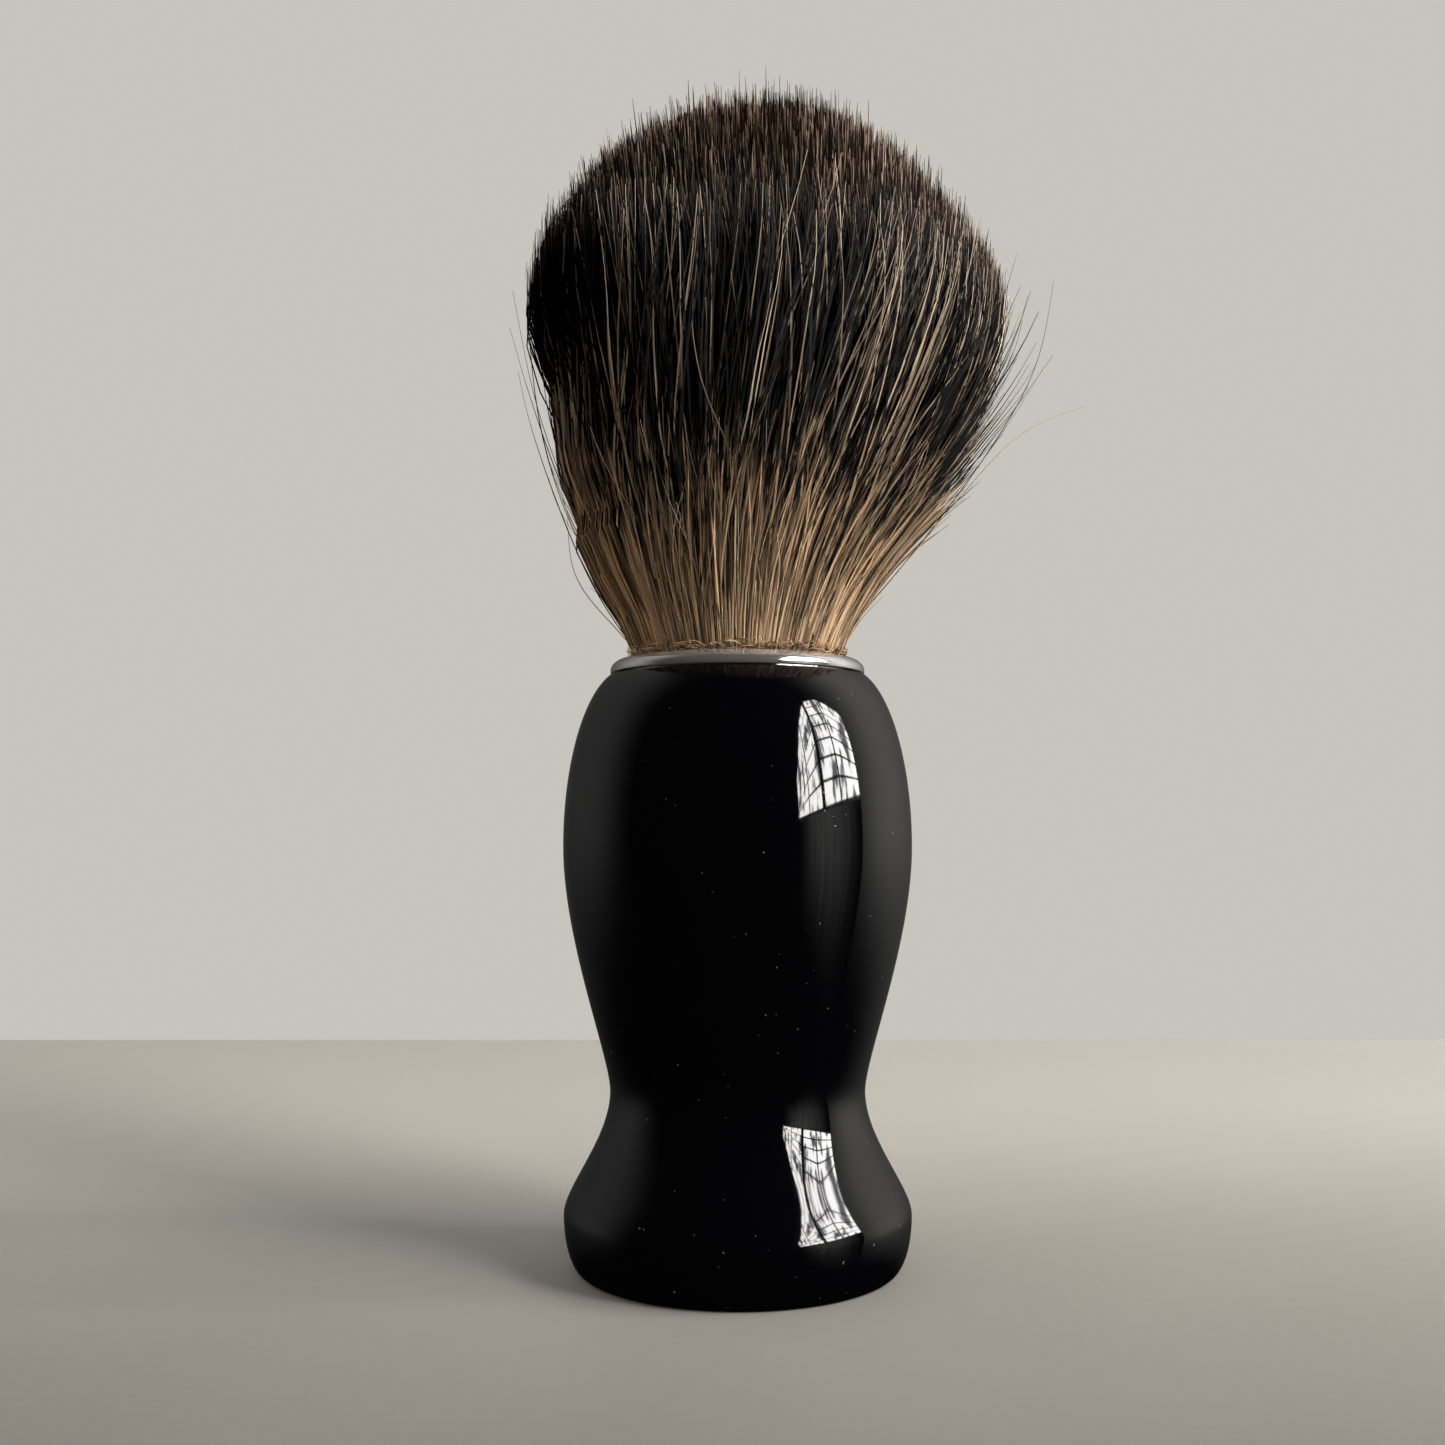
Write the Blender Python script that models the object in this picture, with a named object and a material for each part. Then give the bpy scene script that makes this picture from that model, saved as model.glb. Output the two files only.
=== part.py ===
"""Shaving brush: a turned gloss black handle, a polished collar and a bound hair knot.

Units are metres and +Z is up. The origin is the middle of the resting face under the
handle. The handle is round about Z. The free hair leans towards +X.
"""

import math
from random import Random

import bmesh
import bpy
from mathutils import Vector

MM = 0.001

# Clearance between any two pieces that seat on each other.
FIT = 0.3 * MM

# Hair knot: the bundle at the collar, its widest place (the bloom) and its crown.
KNOT_R = 10.0 * MM
BLOOM_R = 24.0 * MM
BLOOM_RISE = 33.0 * MM
LOFT = 53.4 * MM
BLOOM_LEAN = 3.7 * MM
CROWN_LEAN = 2.0 * MM
FLARE_SLOPE = 0.50
FLARE_PULL = 12.0 * MM
BLOOM_PULL = 13.0 * MM
CROWN_POWER = 2.3
LOCKS = 24
LOCK_DEPTH = 1.3 * MM
LOCK_TWIST = math.radians(9)
TUFTS_ROUND_BLOOM = 80
TUFT_LENGTH = (0.5 * MM, 1.7 * MM)
TUFT_SEED = 5
SHORT_ROWS = 4
ROW_WAVER = 0.55 * MM
ROW_WAVES = 7
ROOT_TAPER = 2.0 * MM

# Binding thread round the hair roots, and the resin plug that the roots are cast in.
THREAD_D = 0.7 * MM
THREAD_TURNS = 4
EPOXY_WALL = 0.8 * MM
EPOXY_FLOOR = 1.2 * MM
EPOXY_H = 4.5 * MM

# Cup that holds the plug and the bound roots, and the adhesive that it is set in.
CUP_WALL = 0.9 * MM
CUP_FLOOR = 1.2 * MM
CUP_SPARE = 0.4 * MM
ADHESIVE_T = 0.6 * MM

# Collar: a ring with a skirt down into the socket and a domed lip over the rim.
COLLAR_WALL = 0.7 * MM
COLLAR_SKIRT = 5.0 * MM
COLLAR_RISE = 1.35 * MM
COLLAR_EDGE = 0.35 * MM
COLLAR_MOUTH = 0.35 * MM

# Handle: heights and radii of the rim, belly, waist and flared foot.
HANDLE_H = 56.1 * MM
RIM_LAND = 1.15 * MM
RIM_STEP = 0.15 * MM
BELLY_R = 16.75 * MM
BELLY_Z = 39.9 * MM
WAIST_R = 12.16 * MM
WAIST_Z = 16.5 * MM
FLARE_R = 16.48 * MM
FLARE_Z = 5.2 * MM
FOOT_R = 14.66 * MM
SHOULDER_ANGLE = math.radians(51)
SHOULDER_REACH = 3.15 * MM
SHOULDER_PULL = 0.48
LOWER_PULLS = (0.19, 0.39)
UPPER_PULLS = (0.14, 0.39)

# Ballast chamber and the plug that closes it from below.
WAIST_WALL = 3.0 * MM
WEIGHT_L = 22.0 * MM
WEIGHT_CHAMFER = 0.8 * MM
FOOT_LAND = 2.0 * MM
PLUG_T = 2.0 * MM
PLUG_SPIGOT = 2.2 * MM
PLUG_WALL = 1.6 * MM
JOINT_CHAMFER = 0.4 * MM

# Sides of the turned pieces: the ones that show, and the ones inside.
OUTER_SIDES = 64
INNER_SIDES = 36
SIDES_PER_LOCK = 4
FLARE_RINGS = 8
CROWN_ROWS = 12
CAP_SIDES = 5
MERGE = 0.001 * MM
SMOOTH_UNDER = math.radians(32)

# Sizes worked out from the ones above.
SKIRT_R = KNOT_R + FIT + COLLAR_WALL
SOCKET_R = SKIRT_R + FIT
RIM_R = SOCKET_R + RIM_LAND
COLLAR_R = RIM_R - RIM_STEP
COLLAR_SEAT = HANDLE_H + FIT
COLLAR_TOP = COLLAR_SEAT + COLLAR_RISE
SKIRT_FOOT = HANDLE_H - COLLAR_SKIRT

CUP_R = SOCKET_R - FIT
CUP_BORE_R = CUP_R - CUP_WALL
EPOXY_R = CUP_BORE_R - FIT
ROOT_R = EPOXY_R - EPOXY_WALL - FIT
BINDING_H = THREAD_D * THREAD_TURNS
CUP_H = CUP_FLOOR + FIT + EPOXY_H + FIT + BINDING_H + CUP_SPARE
CUP_TOP = SKIRT_FOOT - FIT
CUP_FOOT = CUP_TOP - CUP_H
EPOXY_FOOT = CUP_FOOT + CUP_FLOOR + FIT
EPOXY_TOP = EPOXY_FOOT + EPOXY_H
BINDING_FOOT = EPOXY_TOP + FIT
BINDING_TOP = BINDING_FOOT + BINDING_H
ROOT_FOOT = EPOXY_FOOT + EPOXY_FLOOR + FIT
ADHESIVE_TOP = CUP_FOOT - FIT
ADHESIVE_FOOT = ADHESIVE_TOP - ADHESIVE_T
SOCKET_FLOOR = ADHESIVE_FOOT - FIT

CHAMBER_R = WAIST_R - WAIST_WALL
PLUG_BORE_R = FOOT_R - FOOT_LAND
PLUG_R = PLUG_BORE_R - FIT
PLUG_SEAT = PLUG_T + FIT
SPIGOT_R = CHAMBER_R - FIT
SPIGOT_TOP = PLUG_T + PLUG_SPIGOT
WEIGHT_R = CHAMBER_R - FIT
WEIGHT_FOOT = SPIGOT_TOP + FIT
WEIGHT_TOP = WEIGHT_FOOT + WEIGHT_L
CHAMBER_TOP = WEIGHT_TOP + FIT

BLOOM_Z = COLLAR_TOP + BLOOM_RISE
CROWN_Z = COLLAR_TOP + LOFT


def material(name, colour, roughness, metallic=0.0):
    """A Principled material with the piece's colour and finish."""
    made = bpy.data.materials.new(name)
    made.use_nodes = True
    shader = made.node_tree.nodes["Principled BSDF"]
    shader.inputs["Base Color"].default_value = (*colour, 1.0)
    shader.inputs["Roughness"].default_value = roughness
    shader.inputs["Metallic"].default_value = metallic
    return made


def piece(name, solid, finish):
    """Turn a finished bmesh into a named, smooth-shaded object."""
    bmesh.ops.recalc_face_normals(solid, faces=solid.faces)
    mesh = bpy.data.meshes.new(name)
    solid.to_mesh(mesh)
    solid.free()
    mesh.materials.append(finish)
    mesh.shade_smooth()
    mesh.set_sharp_from_angle(angle=SMOOTH_UNDER)
    made = bpy.data.objects.new(name, mesh)
    bpy.context.scene.collection.objects.link(made)
    return made


def turned(name, outline, sides, finish, ring=False):
    """Spin (radius, height) points about Z. A ring's outline closes on itself."""
    solid = bmesh.new()
    points = [solid.verts.new((r, 0.0, z)) for r, z in outline]
    for start, end in zip(points, points[1:]):
        solid.edges.new((start, end))
    if ring:
        solid.edges.new((points[-1], points[0]))
    bmesh.ops.spin(
        solid,
        geom=solid.verts[:] + solid.edges[:],
        cent=(0, 0, 0),
        axis=(0, 0, 1),
        angle=math.tau,
        steps=sides,
        use_merge=True,
    )
    bmesh.ops.remove_doubles(solid, verts=solid.verts, dist=MERGE)
    return piece(name, solid, finish)


def bezier(start, pull_start, pull_end, end, steps):
    """Points of a cubic curve after its start, in the plane of radius and height."""
    points = []
    for step in range(1, steps + 1):
        t = step / steps
        weights = ((1 - t) ** 3, 3 * t * (1 - t) ** 2, 3 * t * t * (1 - t), t**3)
        corners = (start, pull_start, pull_end, end)
        r = sum(w * c[0] for w, c in zip(weights, corners))
        z = sum(w * c[1] for w, c in zip(weights, corners))
        points.append((r, z))
    return points


def upright_curve(start, end, pulls, steps):
    """A curve that leaves and arrives upright. Each pull is a share of the height."""
    height = end[1] - start[1]
    pull_start = (start[0], start[1] + pulls[0] * height)
    pull_end = (end[0], end[1] - pulls[1] * height)
    return bezier(start, pull_start, pull_end, end, steps)


def quarter(centre, radii, start, end, steps):
    """Points of an elliptical arc between two angles given in degrees."""
    points = []
    for step in range(steps + 1):
        angle = math.radians(start + (end - start) * step / steps)
        points.append((centre[0] + radii[0] * math.cos(angle), centre[1] + radii[1] * math.sin(angle)))
    return points


def handle():
    """Turned body: rolled foot, flare, waist, belly and shoulder, hollow at both ends."""
    rolled_foot = quarter((FOOT_R, FLARE_Z), (FLARE_R - FOOT_R, FLARE_Z), -90, 0, 5)
    waist = (WAIST_R, WAIST_Z)
    belly = (BELLY_R, BELLY_Z)
    shoulder = bezier(
        belly,
        (BELLY_R, BELLY_Z + SHOULDER_PULL * (HANDLE_H - BELLY_Z)),
        (
            RIM_R + SHOULDER_REACH * math.sin(SHOULDER_ANGLE),
            HANDLE_H - SHOULDER_REACH * math.cos(SHOULDER_ANGLE),
        ),
        (RIM_R, HANDLE_H),
        8,
    )
    outline = [
        (0.0, CHAMBER_TOP),
        (CHAMBER_R, CHAMBER_TOP),
        (CHAMBER_R, PLUG_SEAT),
        (PLUG_BORE_R, PLUG_SEAT),
        (PLUG_BORE_R, JOINT_CHAMFER),
        (PLUG_BORE_R + JOINT_CHAMFER, 0.0),
        *rolled_foot,
        *upright_curve(rolled_foot[-1], waist, LOWER_PULLS, 7),
        *upright_curve(waist, belly, UPPER_PULLS, 8),
        *shoulder,
        (SOCKET_R, HANDLE_H),
        (SOCKET_R, SOCKET_FLOOR),
        (0.0, SOCKET_FLOOR),
    ]
    return turned("handle", outline, OUTER_SIDES, material("black_resin", (0.006, 0.006, 0.007), 0.06))


def base_plug():
    """Disc flush with the foot, with a cored spigot that centres it in the chamber."""
    outline = [
        (0.0, 0.0),
        (PLUG_R - JOINT_CHAMFER, 0.0),
        (PLUG_R, JOINT_CHAMFER),
        (PLUG_R, PLUG_T),
        (SPIGOT_R, PLUG_T),
        (SPIGOT_R, SPIGOT_TOP),
        (SPIGOT_R - PLUG_WALL, SPIGOT_TOP),
        (SPIGOT_R - PLUG_WALL, PLUG_T),
        (0.0, PLUG_T),
    ]
    return turned("base_plug", outline, OUTER_SIDES, material("plug_plastic", (0.012, 0.012, 0.013), 0.45))


def ballast_weight():
    """Iron slug low in the handle, which keeps the top-heavy brush upright."""
    outline = [
        (0.0, WEIGHT_FOOT),
        (WEIGHT_R - WEIGHT_CHAMFER, WEIGHT_FOOT),
        (WEIGHT_R, WEIGHT_FOOT + WEIGHT_CHAMFER),
        (WEIGHT_R, WEIGHT_TOP - WEIGHT_CHAMFER),
        (WEIGHT_R - WEIGHT_CHAMFER, WEIGHT_TOP),
        (0.0, WEIGHT_TOP),
    ]
    finish = material("ballast_iron", (0.20, 0.20, 0.21), 0.6, 1.0)
    return turned("ballast_weight", outline, INNER_SIDES, finish)


def collar():
    """Chrome ring: skirt in the socket, rolled edge and domed lip on the rim."""
    mouth_r = KNOT_R + FIT
    crest_r = mouth_r + COLLAR_MOUTH
    edge_z = COLLAR_SEAT + COLLAR_EDGE
    dome_size = (COLLAR_R - crest_r, COLLAR_TOP - edge_z)
    dome = quarter((crest_r, edge_z), dome_size, 0, 90, 6)
    mouth_size = (COLLAR_MOUTH, COLLAR_MOUTH)
    mouth = quarter((crest_r, COLLAR_TOP - COLLAR_MOUTH), mouth_size, 120, 180, 2)
    outline = [
        (mouth_r, SKIRT_FOOT),
        (SKIRT_R, SKIRT_FOOT),
        (SKIRT_R, COLLAR_SEAT),
        (COLLAR_R, COLLAR_SEAT),
        *dome,
        *mouth,
    ]
    finish = material("collar_chrome", (0.80, 0.80, 0.81), 0.08, 1.0)
    return turned("collar", outline, OUTER_SIDES, finish, ring=True)


def adhesive_bed():
    """Cured adhesive between the cup and the floor of the socket."""
    outline = [
        (0.0, ADHESIVE_FOOT),
        (CUP_R, ADHESIVE_FOOT),
        (CUP_R, ADHESIVE_TOP),
        (0.0, ADHESIVE_TOP),
    ]
    finish = material("adhesive", (0.62, 0.56, 0.40), 0.4)
    return turned("adhesive_bed", outline, INNER_SIDES, finish)


def knot_cup():
    """Thin moulded cup that the bound hair is set in before it goes in the handle."""
    outline = [
        (0.0, CUP_FOOT),
        (CUP_R, CUP_FOOT),
        (CUP_R, CUP_TOP),
        (CUP_BORE_R, CUP_TOP),
        (CUP_BORE_R, CUP_FOOT + CUP_FLOOR),
        (0.0, CUP_FOOT + CUP_FLOOR),
    ]
    finish = material("cup_plastic", (0.75, 0.74, 0.70), 0.5)
    return turned("knot_cup", outline, INNER_SIDES, finish)


def epoxy_plug():
    """Cast resin round the root ends, in the shape of the cup's inside."""
    seat_r = ROOT_R + FIT
    outline = [
        (0.0, EPOXY_FOOT),
        (EPOXY_R, EPOXY_FOOT),
        (EPOXY_R, EPOXY_TOP),
        (seat_r, EPOXY_TOP),
        (seat_r, EPOXY_FOOT + EPOXY_FLOOR),
        (0.0, EPOXY_FOOT + EPOXY_FLOOR),
    ]
    finish = material("cast_epoxy", (0.50, 0.30, 0.10), 0.2)
    return turned("epoxy_plug", outline, INNER_SIDES, finish)


def hair_binding():
    """Waxed thread wound side by side round the roots, as one ribbed band."""
    inside_r = ROOT_R + FIT
    thread_r = THREAD_D / 2
    outline = [(inside_r, BINDING_TOP), (inside_r, BINDING_FOOT)]
    for turn in range(THREAD_TURNS):
        middle = (inside_r + thread_r / 2, BINDING_FOOT + (turn + 0.5) * THREAD_D)
        outline += quarter(middle, (thread_r / 2, thread_r * 0.9), -70, 70, 2)
    finish = material("waxed_thread", (0.66, 0.60, 0.48), 0.8)
    return turned("hair_binding", outline, INNER_SIDES, finish, ring=True)


def smooth(share):
    """Ease from 0 to 1 with no corner at either end."""
    share = min(max(share, 0.0), 1.0)
    return share * share * (3 - 2 * share)


def hair_lean(height):
    """How far the middle of the hair stands off the handle's axis at a height."""
    if height <= BLOOM_Z:
        return BLOOM_LEAN * smooth((height - COLLAR_TOP) / BLOOM_RISE)
    return BLOOM_LEAN + (CROWN_LEAN - BLOOM_LEAN) * smooth((height - BLOOM_Z) / (CROWN_Z - BLOOM_Z))


def hair_rings():
    """Rings from the roots over the bloom to the crown: (radius, height, sides, furrow depth)."""
    lock_sides = LOCKS * SIDES_PER_LOCK
    rings = [
        (ROOT_R, ROOT_FOOT, lock_sides // 2, 0.0),
        (ROOT_R, BINDING_TOP, lock_sides // 2, 0.0),
        (KNOT_R, BINDING_TOP + ROOT_TAPER, lock_sides // 2, 0.0),
        (KNOT_R, COLLAR_TOP, lock_sides, 0.0),
    ]
    flare = bezier(
        (KNOT_R, COLLAR_TOP),
        (KNOT_R + FLARE_SLOPE * FLARE_PULL, COLLAR_TOP + FLARE_PULL),
        (BLOOM_R, BLOOM_Z - BLOOM_PULL),
        (BLOOM_R, BLOOM_Z),
        FLARE_RINGS,
    )
    for radius, height in flare:
        depth = LOCK_DEPTH * smooth((height - COLLAR_TOP) / BLOOM_RISE)
        rings.append((radius, height, lock_sides, depth))
    for step in range(1, CROWN_ROWS):
        angle = math.radians(90) * step / (CROWN_ROWS - 0.5)
        share = math.cos(angle)
        height = BLOOM_Z + (CROWN_Z - BLOOM_Z) * math.sin(angle) ** (2 / CROWN_POWER)
        tufts = max(round(TUFTS_ROUND_BLOOM * share), CAP_SIDES)
        rings.append((BLOOM_R * share, height, tufts, LOCK_DEPTH * share**2))
    return rings


def lock_furrow(angle, height):
    """0 on the back of a lock of hair and 1 in the furrow between two locks."""
    drift = LOCK_TWIST * math.sin(2 * angle + 1.0) * (height - COLLAR_TOP) / LOFT
    return 0.5 - 0.5 * math.cos(LOCKS * (angle + drift))


def raise_tuft(solid, face, length):
    """Draw the middle of a crown face out to a point, the way that the hair under it grows."""
    middle = face.calc_center_median()
    aim = (middle - Vector((0.0, 0.0, COLLAR_TOP))).normalized()
    for tip in bmesh.ops.poke(solid, faces=[face])["verts"]:
        tip.co += aim * length


def hair_knot():
    """Bound roots and free hair: locks that fan out to the bloom, pointed tufts over the crown."""
    solid = bmesh.new()
    loops = []
    for index, (radius, height, sides, depth) in enumerate(hair_rings()):
        ring = bmesh.ops.create_circle(solid, segments=sides, radius=radius)["verts"]
        middle = hair_lean(height)
        waver = ROW_WAVER * smooth((height - BLOOM_Z) / TUFT_LENGTH[1]) * radius / BLOOM_R
        for vert in ring:
            angle = math.atan2(vert.co.y, vert.co.x)
            reach = radius - depth * lock_furrow(angle, height)
            level = height + waver * math.sin(ROW_WAVES * angle + index)
            vert.co = (middle + reach * math.cos(angle), reach * math.sin(angle), level)
        members = set(ring)
        loops.append([edge for edge in solid.edges if members.issuperset(edge.verts)])
    rows = []
    for lower, upper in zip(loops, loops[1:]):
        rows.append(bmesh.ops.bridge_loops(solid, edges=lower + upper)["faces"])
    bmesh.ops.contextual_create(solid, geom=loops[0])
    rows.append(bmesh.ops.contextual_create(solid, geom=loops[-1])["faces"])
    bmesh.ops.recalc_face_normals(solid, faces=solid.faces)
    random = Random(TUFT_SEED)
    for index, row in enumerate(rows[-CROWN_ROWS:]):
        for face in row:
            raise_tuft(solid, face, random.uniform(*TUFT_LENGTH) * smooth((index + 1) / SHORT_ROWS))
    return piece("hair_knot", solid, material("badger_hair", (0.16, 0.12, 0.08), 0.6))


def build():
    """Clear the scene and make every piece of the brush in its place."""
    for old in list(bpy.data.objects):
        bpy.data.objects.remove(old)
    handle()
    base_plug()
    ballast_weight()
    collar()
    adhesive_bed()
    knot_cup()
    epoxy_plug()
    hair_binding()
    hair_knot()


build()
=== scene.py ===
"""Shaving brush: gloss black handle, polished collar and a full head of badger hair.

Everything is in metres, +Z up, with the origin in the middle of the resting face. The
hair leans towards +X and the camera looks along +Y.
"""

import math

import bmesh
import bpy
import numpy as np
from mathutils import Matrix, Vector


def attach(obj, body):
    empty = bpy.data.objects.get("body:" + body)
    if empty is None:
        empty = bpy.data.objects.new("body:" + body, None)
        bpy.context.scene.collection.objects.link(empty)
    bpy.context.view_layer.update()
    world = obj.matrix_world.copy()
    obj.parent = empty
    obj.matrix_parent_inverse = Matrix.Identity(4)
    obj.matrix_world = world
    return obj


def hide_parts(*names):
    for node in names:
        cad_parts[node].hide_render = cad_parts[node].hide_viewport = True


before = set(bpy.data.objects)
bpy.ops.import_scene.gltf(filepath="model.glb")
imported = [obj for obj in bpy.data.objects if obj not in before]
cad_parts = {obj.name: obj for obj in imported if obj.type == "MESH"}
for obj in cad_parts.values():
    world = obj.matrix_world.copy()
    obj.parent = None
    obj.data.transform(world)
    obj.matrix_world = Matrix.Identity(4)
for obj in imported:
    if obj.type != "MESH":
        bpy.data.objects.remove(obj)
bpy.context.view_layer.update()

MM = 0.001

# Hair: the bundle at the collar, the bloom where it is widest, and the crown.
BUNDLE_R = 9.6 * MM
BUNDLE_FOOT = 55.0 * MM
ROOT_Z = 57.0 * MM
COLLAR_TOP = 57.75 * MM
BLOOM_R = 22.75 * MM
BLOOM_Z = 89.9 * MM
CROWN_Z = 110.8 * MM
CROWN_POWER = (1.33, 1.97)
BLOOM_LEAN = 3.3 * MM
LEAN_POWER = 1.3
FLARE_SLOPE = 0.41
FLARE_PULL = 12.0 * MM
BLOOM_PULL = 13.0 * MM
TIP_SPREAD = math.radians(76)

# One strand of hair.
STRAND_R = 0.072 * MM
PALE_STRAND_R = 0.095 * MM
STRAY_R = 0.06 * MM
FUZZ_R = 0.035 * MM
DOWN_R = 0.045 * MM
CROWN_STRAND_R = 0.092 * MM
STRAND_TIP_R = 0.02 * MM
TAPER_SHARE = 0.16
STRAND_SIDES = 3
OUTER_SHARE = 0.80
CROWN_START = 0.60
LIFT_MOST = 2.0 * MM
STRANDS_PER_LOCK = 7
STRAY_POINTS = 24

# How many strands each quarter of the knot has, the points along each one, and the seeds.
OUTER_COUNT = 2050
OUTER_POINTS = 10
GUARD_COUNT = 420
GUARD_POINTS = 17
CROWN_COUNT = 4300
CROWN_POINTS = 6
DOWN_COUNT = 300
DOWN_POINTS = 15
FUZZ_COUNT = 520
FUZZ_POINTS = 12
SECTOR_SEED = 40
DOWN_SEED = 50
STRAY_SEED = 60

# The map that each hair piece is baked to, in strips across, and the margin of a strip.
WIDE_MAP = 512
NARROW_MAP = 64
STRIP_EDGE = 0.15

SECTORS = ("right", "back", "left", "front")

# Where the colours change along a strand.
BAND_START = 13.5 * MM
BAND_JITTER = 3.6 * MM
BAND_BLUR = 2.5 * MM
EARLY_BAND = 1.0 * MM
TIP_COLOUR_L = 5.5 * MM

# Bound roots and the dark inside of the knot.
ROOT_FOOT = 44.3 * MM
BOUND_R = 8.7 * MM
BOUND_TOP = 50.4 * MM
CORE_SHARE = 0.74
CORE_TOP = 104.0 * MM

# Handle outline.
HANDLE_H = 56.1 * MM
RIM_R = 12.45 * MM
SOCKET_R = 11.3 * MM
SOCKET_FLOOR = 40.1 * MM
BELLY = (16.75 * MM, 39.9 * MM)
WAIST = (12.16 * MM, 16.5 * MM)
FLARE = (16.48 * MM, 5.2 * MM)
FOOT_R = 14.66 * MM
SHOULDER_ANGLE = math.radians(51)
SHOULDER_REACH = 3.15 * MM
SHOULDER_PULL = 0.48
LOWER_PULLS = (0.19, 0.39)
UPPER_PULLS = (0.14, 0.39)
CHAMBER_R = 9.16 * MM
CHAMBER_TOP = 26.8 * MM
PLUG_BORE_R = 12.66 * MM
PLUG_SEAT = 2.3 * MM
FOOT_CHAMFER = 0.4 * MM

# Collar outline.
COLLAR_R = 12.3 * MM
COLLAR_SEAT = 56.3 * MM
COLLAR_FOOT = 51.1 * MM
COLLAR_SKIRT_R = 11.0 * MM
COLLAR_MOUTH_R = 10.3 * MM
COLLAR_EDGE = 0.35 * MM
COLLAR_MOUTH = 0.35 * MM
COLLAR_ROLL = 0.4 * COLLAR_EDGE

# Window that the handle mirrors, and the dim wall below it.
WINDOW_X = 500 * MM
WINDOW_Y = -330 * MM
WINDOW_FOOT = 120 * MM
WINDOW_W = 590 * MM
WINDOW_H = 480 * MM
SILL_H = 420 * MM

# Camera, in metres and degrees, with its lens in millimetres as Blender takes it.
CAMERA_PLACE = (-1.44 * MM, -157.785 * MM, 41.875 * MM)
CAMERA_TILT = 3.56
LENS_MM = 40.61
SENSOR_MM = 36.0

TURNED_SIDES = 192
MERGE = 0.0001 * MM
SHARP_OVER = math.radians(40)


# ---------------------------------------------------------------- materials


class Value:
    """A shader socket that takes part in arithmetic: each operation adds a Math node."""

    def __init__(self, finish, socket):
        self.finish = finish
        self.socket = socket

    def math(self, operation, first, second):
        return self.finish.node("Math", {"operation": operation}, {0: first, 1: second})

    def __add__(self, other):
        return self.math("ADD", self, other)

    def __sub__(self, other):
        return self.math("SUBTRACT", self, other)

    def __rsub__(self, other):
        return self.math("SUBTRACT", other, self)

    def __mul__(self, other):
        return self.math("MULTIPLY", self, other)

    __radd__ = __add__
    __rmul__ = __mul__


class Finish:
    """A node tree of a material or world, with one method that adds any node."""

    def __init__(self, owner):
        self.owner = owner
        owner.use_nodes = True
        self.tree = owner.node_tree

    def node(self, kind, settings=None, inputs=None, output=0):
        made = self.tree.nodes.new("ShaderNode" + kind)
        for name, value in (settings or {}).items():
            setattr(made, name, value)
        for name, value in (inputs or {}).items():
            self.feed(made.inputs[name], value)
        return Value(self, made.outputs[output])

    def feed(self, socket, value):
        if isinstance(value, Value):
            self.tree.links.new(value.socket, socket)
        else:
            socket.default_value = value

    def shade(self, **sockets):
        """Set sockets of the material's own shader. Underscores stand for spaces."""
        shader = self.tree.nodes["Principled BSDF"]
        for name, value in sockets.items():
            self.feed(shader.inputs[name.replace("_", " ")], value)

    def place(self):
        return self.node("TexCoord", output="Object")

    def stretched(self, scale):
        return self.node("Mapping", inputs={"Vector": self.place(), "Scale": scale})

    def noise(self, scale, detail=2.0, where=None):
        inputs = {"Vector": where or self.place(), "Scale": scale, "Detail": detail}
        return self.node("TexNoise", inputs=inputs)

    def step(self, value, low, high):
        """0 below low, 1 above high and an ease between them."""
        inputs = {"Value": value, "From Min": low, "From Max": high}
        return self.node("MapRange", {"interpolation_type": "SMOOTHSTEP"}, inputs)

    def blend(self, share, first, second):
        """Mix two colours."""
        inputs = {0: share, 6: first, 7: second}
        return self.node("Mix", {"data_type": "RGBA"}, inputs, output=2)

    def attribute(self, name):
        return self.node("Attribute", {"attribute_name": name}, output="Fac")

    def bump(self, height, strength, distance):
        inputs = {"Height": height, "Strength": strength, "Distance": distance}
        return self.node("Bump", inputs=inputs)


def new_finish(name, colour, roughness, metallic=0.0):
    """A material with its plain colour, roughness and metallic value set."""
    finish = Finish(bpy.data.materials.new(name))
    finish.shade(Base_Color=(*colour, 1.0), Roughness=roughness, Metallic=metallic)
    return finish


def grey(level):
    return (level, level, level, 1.0)


def black_resin():
    """Poured black resin, buffed to a wet gloss, with a faint swell, haze and dust."""
    finish = new_finish("black_resin", (0.0014, 0.0015, 0.0022), 0.03)
    swell = finish.noise(170.0, 1.0)
    haze = finish.noise(60.0, 4.0)
    dust = finish.step(finish.noise(2600.0, 0.0), 0.865, 0.89)
    finish.shade(
        Base_Color=finish.blend(dust, (0.0014, 0.0015, 0.0022, 1.0), (0.10, 0.095, 0.085, 1.0)),
        Roughness=finish.step(haze, 0.35, 0.8) * 0.035 + 0.028 + dust * 0.5,
        Normal=finish.bump(swell, 0.35, 0.012 * MM),
    )
    return finish.owner


def polished_chrome():
    """Bright plating with faint turning lines and a little haze."""
    finish = new_finish("polished_chrome", (0.80, 0.80, 0.81), 0.07, 0.86)
    lines = finish.noise(1.0, 3.0, finish.stretched((60.0, 60.0, 9000.0)))
    haze = finish.noise(900.0, 3.0)
    finish.shade(
        Base_Color=finish.blend(haze, (0.74, 0.74, 0.75, 1.0), (0.86, 0.86, 0.86, 1.0)),
        Roughness=haze * 0.10 + 0.03,
        Normal=finish.bump(lines, 0.25, 0.004 * MM),
    )
    return finish.owner


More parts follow.
